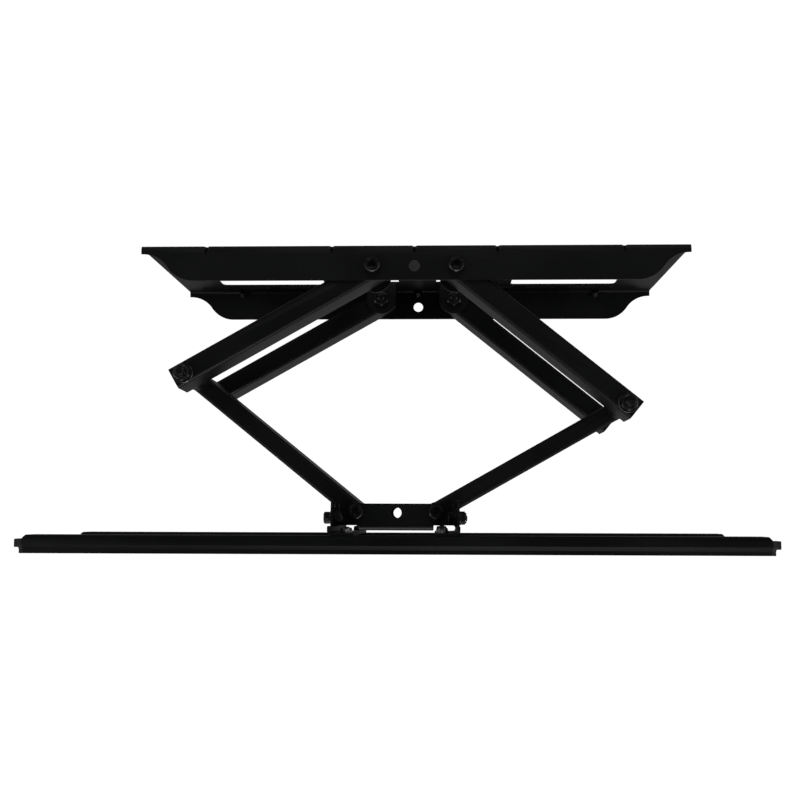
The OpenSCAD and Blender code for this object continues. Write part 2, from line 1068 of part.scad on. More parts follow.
module rail_nuts() {
    color([0.2, 0.2, 0.21])
        rail_bolt_places(upright_rear)
            mirror([0, 0, 1])
                lock_nut(small_af, small_nut_h, small_r + run_gap);
}

wall_plate();
shoulder_bolts();
shoulder_nuts();
left_upper_rear_arm();
left_lower_rear_arm();
left_rear_bushes();
left_elbow_bolt();
left_elbow_nut();
left_elbow_washers();
left_forearm();
left_forearm_bushes();
right_upper_rear_arm();
right_lower_rear_arm();
right_rear_bushes();
right_elbow_bolt();
right_elbow_nut();
right_elbow_washers();
right_forearm();
right_forearm_bushes();
head_bracket();
head_pivot_bolts();
head_pivot_nuts();
tilt_bolts();
tilt_nuts();
tilt_washers();
left_upright();
right_upright();
upper_rail();
lower_rail();
upper_rail_caps();
lower_rail_caps();
rail_bolts();
rail_nuts();
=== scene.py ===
import math

import bmesh
import bpy
from mathutils import Matrix, Vector


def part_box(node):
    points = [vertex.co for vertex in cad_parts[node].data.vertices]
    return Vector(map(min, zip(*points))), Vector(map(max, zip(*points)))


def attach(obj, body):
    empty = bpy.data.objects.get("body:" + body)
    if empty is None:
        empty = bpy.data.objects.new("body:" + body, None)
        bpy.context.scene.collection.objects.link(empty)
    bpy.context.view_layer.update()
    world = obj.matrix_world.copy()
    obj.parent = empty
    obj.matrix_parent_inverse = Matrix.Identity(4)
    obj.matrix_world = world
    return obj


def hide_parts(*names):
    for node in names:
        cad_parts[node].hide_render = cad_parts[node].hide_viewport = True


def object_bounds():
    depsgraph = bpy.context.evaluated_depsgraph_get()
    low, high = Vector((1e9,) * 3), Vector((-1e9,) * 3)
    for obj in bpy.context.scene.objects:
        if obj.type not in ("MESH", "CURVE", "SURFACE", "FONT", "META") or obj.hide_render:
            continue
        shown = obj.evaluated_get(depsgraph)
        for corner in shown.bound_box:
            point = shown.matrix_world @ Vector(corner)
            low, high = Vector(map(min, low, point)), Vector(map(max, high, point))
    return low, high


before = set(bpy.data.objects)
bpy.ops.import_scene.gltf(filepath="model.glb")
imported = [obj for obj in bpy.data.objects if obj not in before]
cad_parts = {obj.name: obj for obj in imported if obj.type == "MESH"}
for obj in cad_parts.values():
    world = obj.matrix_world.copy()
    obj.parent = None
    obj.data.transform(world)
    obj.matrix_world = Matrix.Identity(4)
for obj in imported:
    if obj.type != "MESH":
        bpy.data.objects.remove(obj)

cad_low, cad_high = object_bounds()


# Wall plate. One sheet of steel with windows and lag slots punched through, the two long flanges
# folded forward, a row of grooves pressed across each fold and four lugs lanced and folded out of
# the web. It is powder coated black after folding.

class Wire:
    """A shader socket that takes part in Python expressions; add() makes any other node."""

    def __init__(self, tree, socket=None):
        self.tree = tree
        self.socket = socket

    def into(self, kind, sockets, settings=None):
        """Makes a node with these sockets and settings, and gives the node itself."""
        node = self.tree.nodes.new(kind)
        for key, value in (settings or {}).items():
            setattr(node, key, value)
        for key, value in (sockets or {}).items():
            if isinstance(value, Wire):
                self.tree.links.new(value.socket, node.inputs[key])
            else:
                node.inputs[key].default_value = value
        return node

    def add(self, kind, settings=None, sockets=None, out=0):
        node = self.into(kind, sockets, settings)
        return Wire(self.tree, node.outputs[out])

    def maths(self, operation, first, second):
        return self.add("ShaderNodeMath", {"operation": operation}, {0: first, 1: second})

    def __add__(self, other):
        return self.maths("ADD", self, other)

    def __radd__(self, other):
        return self.maths("ADD", other, self)

    def __sub__(self, other):
        return self.maths("SUBTRACT", self, other)

    def __rsub__(self, other):
        return self.maths("SUBTRACT", other, self)

    def __mul__(self, other):
        return self.maths("MULTIPLY", self, other)

    def __rmul__(self, other):
        return self.maths("MULTIPLY", other, self)

    def between(self, low, high):
        """0 below low, 1 above high and a smooth step in between."""
        ends = {"Value": self, "From Min": low, "From Max": high}
        return self.add("ShaderNodeMapRange", {"interpolation_type": "SMOOTHSTEP"}, ends)


def noise(wire, place, scale, detail=2.0, roughness=0.5):
    """Clouds of about 1 / scale metres, from 0 to 1."""
    sockets = {"Vector": place, "Scale": scale, "Detail": detail, "Roughness": roughness}
    return wire.add("ShaderNodeTexNoise", {}, sockets)


def stretched(wire, place, factors):
    """place scaled along each axis, which draws a pattern out where a factor is small."""
    return wire.add("ShaderNodeVectorMath", {"operation": "MULTIPLY"}, {0: place, 1: factors})


def blended(wire, mask, colour_0, colour_1):
    """colour_0 where mask is 0 and colour_1 where it is 1."""
    mix = {0: mask, 6: colour_0, 7: colour_1}
    return wire.add("ShaderNodeMix", {"data_type": "RGBA"}, mix, out=2)


def finish(name, build, **fixed):
    """A material whose build(wire) gives the sockets of the surface that vary over it."""
    material = bpy.data.materials.new(name)
    material.use_nodes = True
    material.node_tree.nodes.clear()
    wire = Wire(material.node_tree)
    sockets = {key.replace("_", " "): value for key, value in fixed.items()}
    sockets.update(build(wire))
    surface = wire.add("ShaderNodeBsdfPrincipled", {}, sockets)
    wire.into("ShaderNodeOutputMaterial", {"Surface": surface})
    return material


PEEL_DEEP = 0.00006


def powder_coat(name, dark, pale, grain=(1, 1, 1), gloss=0.36, peel=0.25, sheen=0.27):
    """Black powder coat: orange peel, cloudy gloss, settled dust and a few scuffs along grain."""
    def build(wire):
        place = wire.add("ShaderNodeTexCoord", out="Object")
        cloud = noise(wire, place, scale=11.0, detail=3.0, roughness=0.55)
        peel_cells = noise(wire, place, scale=900.0, roughness=0.6)
        grit = noise(wire, place, scale=3200.0, detail=1.0)
        dust = noise(wire, place, scale=420.0, detail=4.0, roughness=0.7).between(0.66, 0.80)
        scuff = noise(wire, stretched(wire, place, grain), scale=130.0).between(0.70, 0.82)
        height = peel_cells + 0.35 * grit
        bump = {"Strength": peel, "Distance": PEEL_DEEP, "Height": height}
        return {
            "Base Color": blended(wire, 0.75 * cloud.between(0.3, 0.7) + 0.4 * dust, dark, pale),
            "Roughness": gloss + 0.14 * cloud + 0.12 * dust - 0.08 * scuff,
            "Normal": wire.add("ShaderNodeBump", {}, bump),
        }
    return finish(name, build, Specular_IOR_Level=sheen)


SHARP_ANGLE = 32


def smoothed(mesh, degrees=SHARP_ANGLE):
    """Shades a mesh smooth but for edges sharper than these degrees."""
    for face in mesh.polygons:
        face.use_smooth = True
    mesh.set_sharp_from_angle(angle=math.radians(degrees))


def in_scene(name, data):
    """A new object of the scene that holds this mesh, lamp or camera."""
    new_object = bpy.data.objects.new(name, data)
    bpy.context.scene.collection.objects.link(new_object)
    return new_object


SAME_PLACE = 1e-6
SAME_FACE = math.radians(1)
EDGE_ANGLE = 35


def softened(name, node, body, material, width, shaped=None, pressed=None):
    """A copy of a solid with its doubles merged and its edges rounded to this width. shaped(shape)
    may move its corners first, and pressed is a mesh that is pressed out of it."""
    shape = bmesh.new()
    shape.from_mesh(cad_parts[node].data)
    bmesh.ops.remove_doubles(shape, verts=shape.verts, dist=SAME_PLACE)
    bmesh.ops.dissolve_limit(shape, angle_limit=SAME_FACE, verts=shape.verts, edges=shape.edges)
    if shaped:
        shaped(shape)
    mesh = bpy.data.meshes.new(name)
    shape.to_mesh(mesh)
    shape.free()
    mesh.materials.clear()
    mesh.materials.append(material)
    smoothed(mesh, EDGE_ANGLE)
    holder = in_scene(name, mesh)
    if pressed:
        tool = in_scene(name + "_tool", pressed)
        cut = holder.modifiers.new("press", "BOOLEAN")
        cut.operation = "DIFFERENCE"
        cut.solver = "EXACT"
        cut.object = tool
    bevel = holder.modifiers.new("edge", "BEVEL")
    bevel.width = width
    bevel.segments = 2
    bevel.limit_method = "ANGLE"
    bevel.angle_limit = math.radians(EDGE_ANGLE)
    bevel.harden_normals = True
    view = bpy.context.evaluated_depsgraph_get()
    holder.data = bpy.data.meshes.new_from_object(holder.evaluated_get(view))
    holder.modifiers.clear()
    if pressed:
        bpy.data.objects.remove(tool)
    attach(holder, body)
    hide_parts(node)


def mesh_of(name, shape):
    """The mesh of closed shapes, with every face turned outwards."""
    bmesh.ops.recalc_face_normals(shape, faces=shape.faces)
    mesh = bpy.data.meshes.new(name)
    shape.to_mesh(mesh)
    shape.free()
    return mesh


def closed_between(shape, near, far):
    """Adds sides between two like rings of corners, and a face on each ring."""
    for one in range(len(near)):
        two = (one + 1) % len(near)
        shape.faces.new((near[one], near[two], far[two], far[one]))
    shape.faces.new(near)
    shape.faces.new(far)


FOLD_Y = -0.0045
FOLD_Z = 0.0955
SLANT = math.sqrt(0.5)
GROOVE_ROOT = (0, 0.0010)
GROOVE_RIGHT = (0.0050, 0.0072)
GROOVE_LEFT = (-0.0050, 0.0072)
GROOVE_HALF_LONG = 0.020


def groove_presses(name, places):
    """Wedges that press a shallow V across both folds of the plate, at 45 degrees, at each place."""
    shape = bmesh.new()
    for x in places:
        for tier in (1, -1):
            ends = []
            for along in (-GROOVE_HALF_LONG, GROOVE_HALF_LONG):
                ring = []
                for across, out in (GROOVE_ROOT, GROOVE_RIGHT, GROOVE_LEFT):
                    y = FOLD_Y + (out - along) * SLANT
                    z = tier * (FOLD_Z + (out + along) * SLANT)
                    ring.append(shape.verts.new((x + across, y, z)))
                ends.append(ring)
            closed_between(shape, *ends)
    return mesh_of(name, shape)


COAT_EDGE = 0.00035
COAT_DARK = (0.0011, 0.0013, 0.0013, 1.0)
COAT_PALE = (0.0026, 0.0030, 0.0029, 1.0)
ALONG_X = (0.15, 1, 1)
plate_coat = powder_coat("black_coat_on_folded_sheet", COAT_DARK, COAT_PALE, grain=ALONG_X)
GROOVE_PLACES = (-0.1755, -0.0695, 0.0, 0.0695, 0.1755)
grooves = groove_presses("groove_presses", GROOVE_PLACES)
softened("folded_wall_plate", "wall_plate", "wall", plate_coat, COAT_EDGE, pressed=grooves)


# Pivot screws. Socket cap screws of 8 mm, cold headed, with a knurled rim, a hexagon socket and a
# rolled thread at the end of the shank, plated in black zinc. Four hold the rear arms to the
# plate's flanges and lugs, and two more like them hold the head.

PITCH = 0.00125
THREAD_DEEP = 0.0007
THREAD_SINK = THREAD_DEEP * 0.75
THREAD_LEAD = 0.0008
THREAD_FADE = 8 * PITCH


def turned_piece(name, rows, across_flats=0.0, steps=48):
    """A piece turned round Z from rows of (radius, height, kind). The kinds are round, hex, which is
    the round limited by the hexagon, and socket, which is the hexagon itself. Rows on the axis are
    poles. Rows that start and end off the axis close on themselves, as those of a ring do."""
    def radius(row, turn):
        reach, _, kind = row
        flat = (turn + math.pi / 6) % (math.pi / 3) - math.pi / 6
        if kind == "socket":
            return reach / math.cos(flat)
        limit = across_flats / 2 / math.cos(flat)
        return min(reach, limit) if kind == "hex" else reach

    shape = bmesh.new()
    rings = []
    for row in rows:
        if row[0] == 0:
            rings.append([shape.verts.new((0, 0, row[1]))] * steps)
            continue
        ring = []
        for step in range(steps):
            turn = 2 * math.pi * step / steps
            reach = radius(row, turn)
            ring.append(shape.verts.new((reach * math.cos(turn), reach * math.sin(turn), row[1])))
        rings.append(ring)
    if rows[0][0] != 0:
        rings.append(rings[0])
    for low, high in zip(rings, rings[1:]):
        for step in range(steps):
            after = (step + 1) % steps
            corners = [low[step], low[after], high[after], high[step]]
            shape.faces.new(list(dict.fromkeys(corners)))
    return mesh_of(name, shape)


def cap_screw(name, shank_r, head_r, head_h, length, socket_r, socket_deep, edge=0.0008):
    """The screw's seat is at z = 0, its head above and its shank below."""
    tip = -length
    socket_floor = head_h - socket_deep
    drill_point = 0.3 * socket_r
    socket_mouth = socket_r * 1.16
    return turned_piece(name, [
        (0, tip, "round"),
        (shank_r - 2 * edge, tip, "round"),
        (shank_r - THREAD_DEEP, tip + edge, "round"),
        (shank_r - THREAD_DEEP, tip + edge + PITCH, "round"),
        (shank_r, tip + THREAD_FADE, "round"),
        (shank_r, 0, "round"),
        (head_r - edge / 2, 0, "round"),
        (head_r, edge / 2, "round"),
        (head_r, head_h - edge, "round"),
        (head_r - edge, head_h, "round"),
        (socket_mouth, head_h, "round"),
        (socket_r, head_h - edge, "socket"),
        (socket_r, socket_floor, "socket"),
        (0, socket_floor - drill_point, "round"),
    ])


def links_between(tree, *pairs):
    """Links each pair of an output and an input."""
    for source, target in pairs:
        tree.links.new(source, target)


STEPS_A_TURN = 20
RIDGE_SIDES = 4


def fastener_tree():
    """Geometry nodes that set one fastener on every point, turned as its point says, with a helix
    of thread near its tip and a knurl of fine ribs round its head."""
    tree = bpy.data.node_groups.new("fastener_set", "GeometryNodeTree")
    face = tree.interface
    face.new_socket("Places", in_out="INPUT", socket_type="NodeSocketGeometry")
    face.new_socket("Screw", in_out="INPUT", socket_type="NodeSocketObject")
    face.new_socket("Finish", in_out="INPUT", socket_type="NodeSocketMaterial")
    sizes = ("Thread radius", "Thread turns", "Thread length", "Thread start", "Rib radius", "Rib height",
             "Head radius", "Head height")
    for size in sizes:
        face.new_socket(size, in_out="INPUT", socket_type="NodeSocketFloat")
    face.new_socket("Ribs", in_out="INPUT", socket_type="NodeSocketInt")
    face.new_socket("Fasteners", in_out="OUTPUT", socket_type="NodeSocketGeometry")
    new = tree.nodes.new
    given = new("NodeGroupInput").outputs
    result = new("NodeGroupOutput")

    helix = new("GeometryNodeCurveSpiral")
    helix.inputs["Resolution"].default_value = STEPS_A_TURN
    ridge = new("GeometryNodeCurvePrimitiveCircle")
    ridge.inputs["Resolution"].default_value = RIDGE_SIDES
    ridge.inputs["Radius"].default_value = THREAD_SINK
    swept = new("GeometryNodeCurveToMesh")
    swept.inputs["Fill Caps"].default_value = True
    seated = new("GeometryNodeTransform")
    offset = new("ShaderNodeCombineXYZ")
    links_between(
        tree,
        (given["Thread radius"], helix.inputs["Start Radius"]),
        (given["Thread radius"], helix.inputs["End Radius"]),
        (given["Thread turns"], helix.inputs["Rotations"]),
        (given["Thread length"], helix.inputs["Height"]),
        (helix.outputs["Curve"], swept.inputs["Curve"]),
        (ridge.outputs["Curve"], swept.inputs["Profile Curve"]),
        (swept.outputs["Mesh"], seated.inputs["Geometry"]),
        (given["Thread start"], offset.inputs["Z"]),
        (offset.outputs[0], seated.inputs["Translation"]),
    )

    rim = new("GeometryNodeMeshCircle")
    rib = new("GeometryNodeMeshCylinder")
    rib.inputs["Vertices"].default_value = RIDGE_SIDES
    on_rim = new("GeometryNodeInstanceOnPoints")
    raised = new("GeometryNodeTransform")
    lift = new("ShaderNodeCombineXYZ")
    links_between(
        tree,
        (given["Ribs"], rim.inputs["Vertices"]),
        (given["Head radius"], rim.inputs["Radius"]),
        (given["Rib radius"], rib.inputs["Radius"]),
        (given["Rib height"], rib.inputs["Depth"]),
        (rim.outputs["Mesh"], on_rim.inputs["Points"]),
        (rib.outputs["Mesh"], on_rim.inputs["Instance"]),
        (on_rim.outputs["Instances"], raised.inputs["Geometry"]),
        (given["Head height"], lift.inputs["Z"]),
        (lift.outputs[0], raised.inputs["Translation"]),
    )

    screw = new("GeometryNodeObjectInfo")
    screw.transform_space = "ORIGINAL"
    whole = new("GeometryNodeJoinGeometry")
    turn = new("GeometryNodeInputNamedAttribute")
    turn.data_type = "FLOAT_VECTOR"
    turn.inputs["Name"].default_value = "turn"
    placed = new("GeometryNodeInstanceOnPoints")
    real = new("GeometryNodeRealizeInstances")
    coloured = new("GeometryNodeSetMaterial")
    links_between(
        tree,
        (given["Screw"], screw.inputs["Object"]),
        (screw.outputs["Geometry"], whole.inputs["Geometry"]),
        (seated.outputs["Geometry"], whole.inputs["Geometry"]),
        (raised.outputs["Geometry"], whole.inputs["Geometry"]),
        (given["Places"], placed.inputs["Points"]),
        (whole.outputs["Geometry"], placed.inputs["Instance"]),
        (turn.outputs["Attribute"], placed.inputs["Rotation"]),
        (placed.outputs["Instances"], real.inputs["Geometry"]),
        (real.outputs["Geometry"], coloured.inputs["Geometry"]),
        (given["Finish"], coloured.inputs["Material"]),
        (coloured.outputs["Geometry"], result.inputs["Fasteners"]),
    )
    return tree


FASTENERS = fastener_tree()
RIB_OUT = 0.0002
KNURL_SINK = 0.00018
NO_THREAD = {"Thread radius": 0.001, "Thread turns": 0.01, "Thread length": 0.0, "Thread start": 0.0}
NO_KNURL = {"Ribs": 3, "Rib radius": 0.0, "Rib height": 0.0, "Head radius": 0.0, "Head height": 0.0}


def thread(shank_r, turns, pitch, start):
    """Sizes of a rolled thread whose first turn is at the height start."""
    return {"Thread radius": shank_r - THREAD_SINK, "Thread turns": turns, "Thread length": turns * pitch,
            "Thread start": start}


def knurl(ribs, rib_r, rib_h, head_r, middle):
    """Sizes of the fine ribs round a head, with their middles at the height middle."""
    return {"Ribs": ribs, "Rib radius": rib_r, "Rib height": rib_h, "Head radius": head_r - KNURL_SINK,
            "Head height": middle}


def fastener_set(name, mesh, places, body, material, replaced, slot, **sizes):
    """Sets copies of one fastener on places, each a position and a turn, as one piece of a body."""
    points = bpy.data.meshes.new(name + "_places")
    points.from_pydata([place for place, _ in places], [], [])
    turns = points.attributes.new("turn", "FLOAT_VECTOR", "POINT")
    for number, (_, turn) in enumerate(places):
        turns.data[number].vector = turn
    screw = in_scene(name + "_pattern", mesh)
    holder = in_scene(name + "_holder", points)
    modifier = holder.modifiers.new("set", "NODES")
    modifier.node_group = FASTENERS
    named = {item.name: item.identifier for item in FASTENERS.interface.items_tree}
    modifier[named["Screw"]] = screw
    modifier[named["Finish"]] = material
    for key, value in {**NO_THREAD, **NO_KNURL, **sizes}.items():
        modifier[named[key]] = value
    view = bpy.context.evaluated_depsgraph_get()
    made = bpy.data.meshes.new_from_object(holder.evaluated_get(view))
    bpy.data.objects.remove(holder)
    bpy.data.objects.remove(screw)
    smoothed(made)
    piece = in_scene(name, made)
    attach(piece, body)
    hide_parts(replaced)


BARE_STEEL = (0.22, 0.22, 0.23, 1.0)
TURNING = (1, 1, 12)
MARK_DEEP = 0.00003


def black_zinc(name, tone, gloss):
    """Black zinc on steel: dark and half bright, with turning marks and thin spots."""
    def build(wire):
        place = wire.add("ShaderNodeTexCoord", out="Object")
        thin = noise(wire, place, scale=260.0, detail=3.0, roughness=0.6).between(0.5, 0.78)
        marks = noise(wire, stretched(wire, place, TURNING), scale=600.0)
        bump = {"Strength": 0.2, "Distance": MARK_DEEP, "Height": marks}
        return {
            "Base Color": blended(wire, 0.55 * thin, (tone, tone, tone * 1.04, 1.0), BARE_STEEL),
            "Roughness": gloss + 0.12 * marks - 0.06 * thin,
            "Metallic": 0.85 + 0.15 * thin,
            "Normal": wire.add("ShaderNodeBump", {}, bump),
        }
    return finish(name, build)


HEAD_UP = (0.0, 0.0, 0.0)
HEAD_DOWN = (math.pi, 0.0, 0.0)
screw_zinc = black_zinc("black_zinc_screws", tone=0.022, gloss=0.20)


def boxes_of(node):
    """The box of each separate solid in a node, as its low and its high corner."""
    mesh = bmesh.new()
    mesh.from_mesh(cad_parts[node].data)
    bmesh.ops.remove_doubles(mesh, verts=mesh.verts, dist=SAME_PLACE)
    waiting = set(mesh.verts)
    boxes = []
    while waiting:
        open_ends = [waiting.pop()]
        part = []
        while open_ends:
            vertex = open_ends.pop()
            part.append(vertex.co.copy())
            for edge in vertex.link_edges:
                other = edge.other_vert(vertex)
                if other in waiting:
                    waiting.remove(other)
                    open_ends.append(other)
        low = Vector(min(p[i] for p in part) for i in range(3))
        high = Vector(max(p[i] for p in part) for i in range(3))
        boxes.append((low, high))
    mesh.free()
    return sorted(boxes, key=lambda box: tuple(round(c, 4) for c in (box[0] + box[1])))


M8_SHANK = 0.004
M8_HEAD = 0.0065
M8_HEAD_H = 0.008
SOCKET = 0.0031
SOCKET_DEEP = 0.0045
M8_SCREW_TURNS = 18.0
M8_KNURL = knurl(ribs=44, rib_r=0.00042, rib_h=0.0062, head_r=M8_HEAD, middle=0.0041)


def cap_screws(name, node, body, places, length):
    """Sets of the 8 mm screw, as long under the head as length."""
    mesh = cap_screw(name + "_shape", M8_SHANK, M8_HEAD - RIB_OUT, M8_HEAD_H, length, SOCKET, SOCKET_DEEP)
    ridge = thread(M8_SHANK, M8_SCREW_TURNS, PITCH, THREAD_LEAD - length)
    fastener_set(name, mesh, places, body, screw_zinc, node, "black_zinc", **ridge, **M8_KNURL)


def seats(boxes, head_h):
    """Places on the seats of screws that stand along Z: heads up above mid-height, down below it."""
    found = []
    for low, high in boxes:
        middle = (low + high) / 2
        if middle.z > 0:
            found.append(((middle.x, middle.y, high.z - head_h), HEAD_UP))
        else:
            found.append(((middle.x, middle.y, low.z + head_h), HEAD_DOWN))
    return found


shoulder_boxes = boxes_of("shoulder_bolts")
shoulder_long = shoulder_boxes[0][1].z - shoulder_boxes[0][0].z - M8_HEAD_H
cap_screws("shoulder_screws", "shoulder_bolts", "wall", seats(shoulder_boxes, M8_HEAD_H), shoulder_long)


# Lock nuts. Hexagon nuts of 8 mm, cold formed, with chamfered corners and a nylon ring crimped into
# a round collar; they hold the shoulder screws against the lugs, the elbow bolts and the head.

def lock_nut(name, across_flats, height, bore_r):
    """A lock nut whose seat is at z = 0."""
    corner = across_flats / math.sqrt(3)
    collar = across_flats / 2 * 0.93
    chamfer = 0.07 * across_flats
    hex_top = 0.74 * height
    crimp = 0.90 * height
    return turned_piece(name, [
        (bore_r, 0.06 * height, "round"),
        (bore_r + 0.05 * across_flats, 0, "round"),
        (corner - chamfer, 0, "hex"),
        (corner, 0.35 * chamfer, "hex"),
        (corner, hex_top - 0.5 * chamfer, "hex"),
        (corner - chamfer, hex_top, "hex"),
        (collar, hex_top + 0.02 * height, "round"),
        (collar, crimp, "round"),
        (collar * 0.93, 0.98 * height, "round"),
        (collar * 0.80, height, "round"),
        (bore_r + 0.06 * across_flats, 0.95 * height, "round"),
        (bore_r, 0.93 * height, "round"),
    ], across_flats)


M8_FLATS = 0.013
M8_NUT_H = 0.008
M8_BORE = 0.00405
nut_zinc = black_zinc("black_zinc_nuts", tone=0.030, gloss=0.22)


def lock_nuts(name, node, body, places):
    """Sets of the 8 mm lock nut."""
    mesh = lock_nut(name + "_shape", M8_FLATS, M8_NUT_H, M8_BORE)
    fastener_set(name, mesh, places, body, nut_zinc, node, "black_zinc")


def nut_places(boxes, below):
    """Seats of nuts along Z. below says of a box whether its nut hangs under its seat."""
    found = []
    for low, high in boxes:
        middle = (low + high) / 2
        if below(middle):
            found.append(((middle.x, middle.y, high.z), HEAD_DOWN))
        else:
            found.append(((middle.x, middle.y, low.z), HEAD_UP))
    return found


lock_nuts("shoulder_lock_nuts", "shoulder_nuts", "wall",
          nut_places(boxes_of("shoulder_nuts"), lambda middle: middle.z > 0))


# Rear arms. Rectangular steel tube, cut to length, with a sleeve welded through each end for the
# bushes, and powder coated. The few scuffs of the coat are drawn out sideways.

TUBE_DARK = (0.0012, 0.0014, 0.0014, 1.0)
TUBE_PALE = (0.0030, 0.0034, 0.0033, 1.0)
for side, stretch in (("left", 0.35), ("right", 0.3)):
    tube_coat = powder_coat(side + "_tube_coat", TUBE_DARK, TUBE_PALE, grain=(stretch, 1, 1), gloss=0.33,
                            peel=0.22, sheen=0.23)
    for tier in ("upper", "lower"):
        arm = f"{side}_{tier}_rear"
        softened(arm + "_tube", arm + "_arm", side + "_rear", tube_coat, COAT_EDGE)


# Bushes. Flanged plain bearings moulded in black nylon, pressed into the ends of every arm, so
# that no steel face rubs on another.

GRAIN_DEEP = 0.00004
NYLON_SHEEN = 0.25


def nylon(name, tone):
    """Moulded nylon: matt, a little cloudy, with a fine spark-eroded grain."""
    def build(wire):
        place = wire.add("ShaderNodeTexCoord", out="Object")
        cloud = noise(wire, place, scale=90.0, detail=3.0)
        grain = noise(wire, place, scale=4200.0, roughness=0.7)
        bump = {"Strength": 0.35, "Distance": GRAIN_DEEP, "Height": grain}
        shade = (tone, tone * 1.05, tone * 1.05, 1.0)
        pale = (tone * 1.8, tone * 1.9, tone * 1.9, 1.0)
        return {
            "Base Color": blended(wire, cloud, shade, pale),
            "Roughness": 0.52 + 0.16 * cloud,
            "Normal": wire.add("ShaderNodeBump", {}, bump),
        }
    return finish(name, build, Specular_IOR_Level=NYLON_SHEEN)


BUSH_EDGE = 0.0002
bush_nylon = nylon("black_nylon_bushes", tone=0.006)
for side in ("left", "right"):
    for arm, bushes in (("_rear", "_rear_bushes"), ("_fore", "_forearm_bushes")):
        softened(side + arm + "_bearings", side + bushes, side + arm, bush_nylon, BUSH_EDGE)


# Elbow bolts. One long hexagon bolt of 8 mm, forged and plated, runs up through both tiers and the
# forearm's barrel, with a stamped washer at each end and a lock nut on top, above which the end of
# its rolled thread shows.

def hex_bolt(name, shank_r, across_flats, head_h, length):
    """The bolt's seat is at z = 0, its head above and its shank below."""
    corner = across_flats / math.sqrt(3)
    chamfer = 0.08 * across_flats
    tip = -length
    seat_r = 0.475 * across_flats
    seat_h = 0.0003
    return turned_piece(name, [
        (0, tip, "round"),
        (shank_r - 0.0012, tip, "round"),
        (shank_r - THREAD_DEEP, tip + 0.0006, "round"),
        (shank_r - THREAD_DEEP, tip + 12 * PITCH, "round"),
        (shank_r, tip + 13 * PITCH, "round"),
        (shank_r, 0, "round"),
        (seat_r, 0, "round"),
        (seat_r, seat_h, "round"),
        (corner, seat_h, "hex"),
        (corner, head_h - 0.5 * chamfer, "hex"),
        (corner - chamfer, head_h, "hex"),
        (0, head_h, "round"),
    ], across_flats)


def flat_ring(name, outer_r, bore_r, thick):
    """A stamped washer: its rim is rounder on the side of the punch, which is the upper one."""
    soft = 0.2 * thick
    rounder = 1.6 * soft
    return turned_piece(name, [
        (bore_r, soft, "round"),
        (bore_r + soft, 0, "round"),
        (outer_r - soft, 0, "round"),
        (outer_r, soft, "round"),
        (outer_r, thick - rounder, "round"),
        (outer_r - rounder, thick, "round"),
        (bore_r + soft, thick, "round"),
        (bore_r, thick - soft, "round"),
    ])


M8_HEX_HEAD_H = 0.0053
ELBOW_TURNS = 11.0
WASHER_R = 0.0085
for side in ("left", "right"):
    low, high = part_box(side + "_elbow_bolt")
    middle = (low + high) / 2
    seat = (middle.x, middle.y, low.z + M8_HEX_HEAD_H)
    elbow_long = high.z - seat[2]
    bolt = hex_bolt("elbow_bolt_shape", M8_SHANK, M8_FLATS, M8_HEX_HEAD_H, elbow_long)
    fastener_set(side + "_elbow_hex_bolt", bolt, [(seat, HEAD_DOWN)], side + "_rear", screw_zinc,
                 side + "_elbow_bolt", "black_zinc",
                 **thread(M8_SHANK, ELBOW_TURNS, PITCH, THREAD_LEAD - elbow_long))
    lock_nuts(side + "_elbow_lock_nut", side + "_elbow_nut", side + "_rear",
              nut_places([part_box(side + "_elbow_nut")], lambda centre: False))
    rings = boxes_of(side + "_elbow_washers")
    thick = rings[0][1].z - rings[0][0].z
    fastener_set(side + "_elbow_flat_washers", flat_ring("washer_shape", WASHER_R, M8_BORE, thick),
                 nut_places(rings, lambda centre: centre.z < 0), side + "_rear", nut_zinc,
                 side + "_elbow_washers", "black_zinc")


# Forearms. Each is a tall closed tube with a barrel welded in at both ends, one for the elbow bolt
# and one for the head's pivot. The powder coat runs over the welds without a break.

for side in ("left", "right"):
    forearm_coat = powder_coat(side + "_forearm_coat", TUBE_DARK, TUBE_PALE, grain=(0.3, 1, 1), gloss=0.35,
                               peel=0.24)
    softened(side + "_fabricated_forearm", side + "_forearm", side + "_fore", forearm_coat,
             COAT_EDGE)


# Head. A short channel of folded sheet, powder coated, that carries both forearms between its
# flanges, with four ears for the tilt screws, and two pivot screws with lock nuts below.

ALONG_Z = (1, 1, 0.2)
head_coat = powder_coat("black_coat_on_head", COAT_DARK, COAT_PALE, grain=ALONG_Z, gloss=0.38, peel=0.3)
softened("folded_head", "head_bracket", "head", head_coat, COAT_EDGE)
pivot_boxes = boxes_of("head_pivot_bolts")
pivot_top = pivot_boxes[0][1].z
pivot_long = pivot_top - M8_HEAD_H - pivot_boxes[0][0].z
pivot_seats = [(((low.x + high.x) / 2, (low.y + high.y) / 2, pivot_top - M8_HEAD_H), HEAD_UP)
               for low, high in pivot_boxes]
cap_screws("head_pivot_screws", "head_pivot_bolts", "head", pivot_seats, pivot_long)
lock_nuts("head_pivot_lock_nuts", "head_pivot_nuts", "head",
          nut_places(boxes_of("head_pivot_nuts"), lambda centre: True))


# Tilt screws. Four socket cap screws of 6 mm, plated like the pivot screws, all put in from the
# left, each with a washer and a nut; the lower pair is the hinge and the upper pair clamps the ears
# through the arc slots.

M6_SHANK = 0.003
M6_HEAD = 0.005
M6_HEAD_H = 0.0055
M6_FLATS = 0.010
M6_NUT_H = 0.0045
M6_BORE = 0.00305
M6_PITCH = 0.001
M6_TURNS = 7.0
M6_LEAD = 0.0006
M6_SOCKET = 0.0025
M6_SOCKET_DEEP = 0.003
M6_WASHER_R = 0.006
TOWARDS_LEFT = (0.0, -math.pi / 2, 0.0)
TOWARDS_RIGHT = (0.0, math.pi / 2, 0.0)


